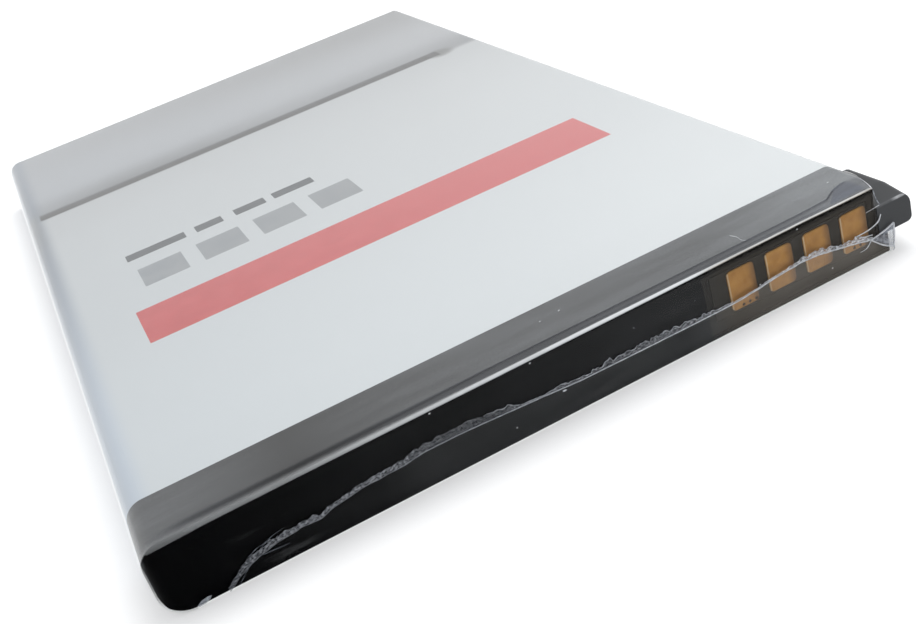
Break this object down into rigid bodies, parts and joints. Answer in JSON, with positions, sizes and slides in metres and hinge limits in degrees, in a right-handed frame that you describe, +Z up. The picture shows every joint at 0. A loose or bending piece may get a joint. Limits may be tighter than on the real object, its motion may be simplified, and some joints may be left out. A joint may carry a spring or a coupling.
{
  "type": "mobile phone battery",
  "caption": "Flat removable phone battery: sealed cell in a label wrap, black moulded cap with gold contact pads and a keying lug, in a shrunk clear sleeve.",
  "frame": {"origin": "middle of the underside, on the surface the battery lies on", "axes": "+Z up, out of the printed face; +Y from the contact end to the tail; +X along the contact end, towards the keying lug"},
  "size_m": [0.0546, 0.0922, 0.0053],
  "materials": {
    "can_aluminium": "drawn, satin",
    "gasket_plastic": "moulded, natural",
    "nickel": "rolled nickel",
    "cap_black": "moulded, glossy",
    "board_mask": "dark solder mask",
    "chip_black": "moulded, matte",
    "chip_tan": "fired, matte",
    "sheet_green": "pressed sheet",
    "label_white": "printed film, satin",
    "ink_red": "printed",
    "ink_grey": "printed",
    "ink_dark": "printed",
    "contact_gold": "thin gold plate",
    "tape_white": "adhesive tape",
    "clear_film": "clear shrunk film",
    "sealed_film": "cloudy heat-sealed film"
  },
  "bodies": {
    "root": {"cell": "can_aluminium", "fill_plug": "can_aluminium", "terminal_gasket": "gasket_plastic", "cell_terminal": "nickel", "contact_cap": "cap_black", "contact_block": "board_mask", "circuit_board": "board_mask", "switch_chip": "chip_black", "guard_chip": "chip_black", "thermistor": "chip_black", "positive_plate": "nickel", "negative_plate": "nickel", "insulator_sheet": "sheet_green", "thermal_cutout": "gasket_plastic", "positive_strip": "nickel", "terminal_lead": "nickel", "negative_strip": "nickel", "label_wrap": "label_white", "clear_sleeve": "clear_film", "sleeve_seam": "sealed_film", "sleeve_tab": "sealed_film", "contact_1": "contact_gold", "contact_2": "contact_gold", "contact_3": "contact_gold", "contact_4": "contact_gold", "capacitor_1": "chip_tan", "capacitor_2": "chip_tan", "resistor_1": "chip_black", "resistor_2": "chip_black", "tail_tape": "tape_white", "tail_cap": "cap_black", "label_band": "ink_red", "label_rule": "ink_grey", "label_figures": "ink_dark", "label_notes": "ink_grey"}
  },
  "joints": []
}
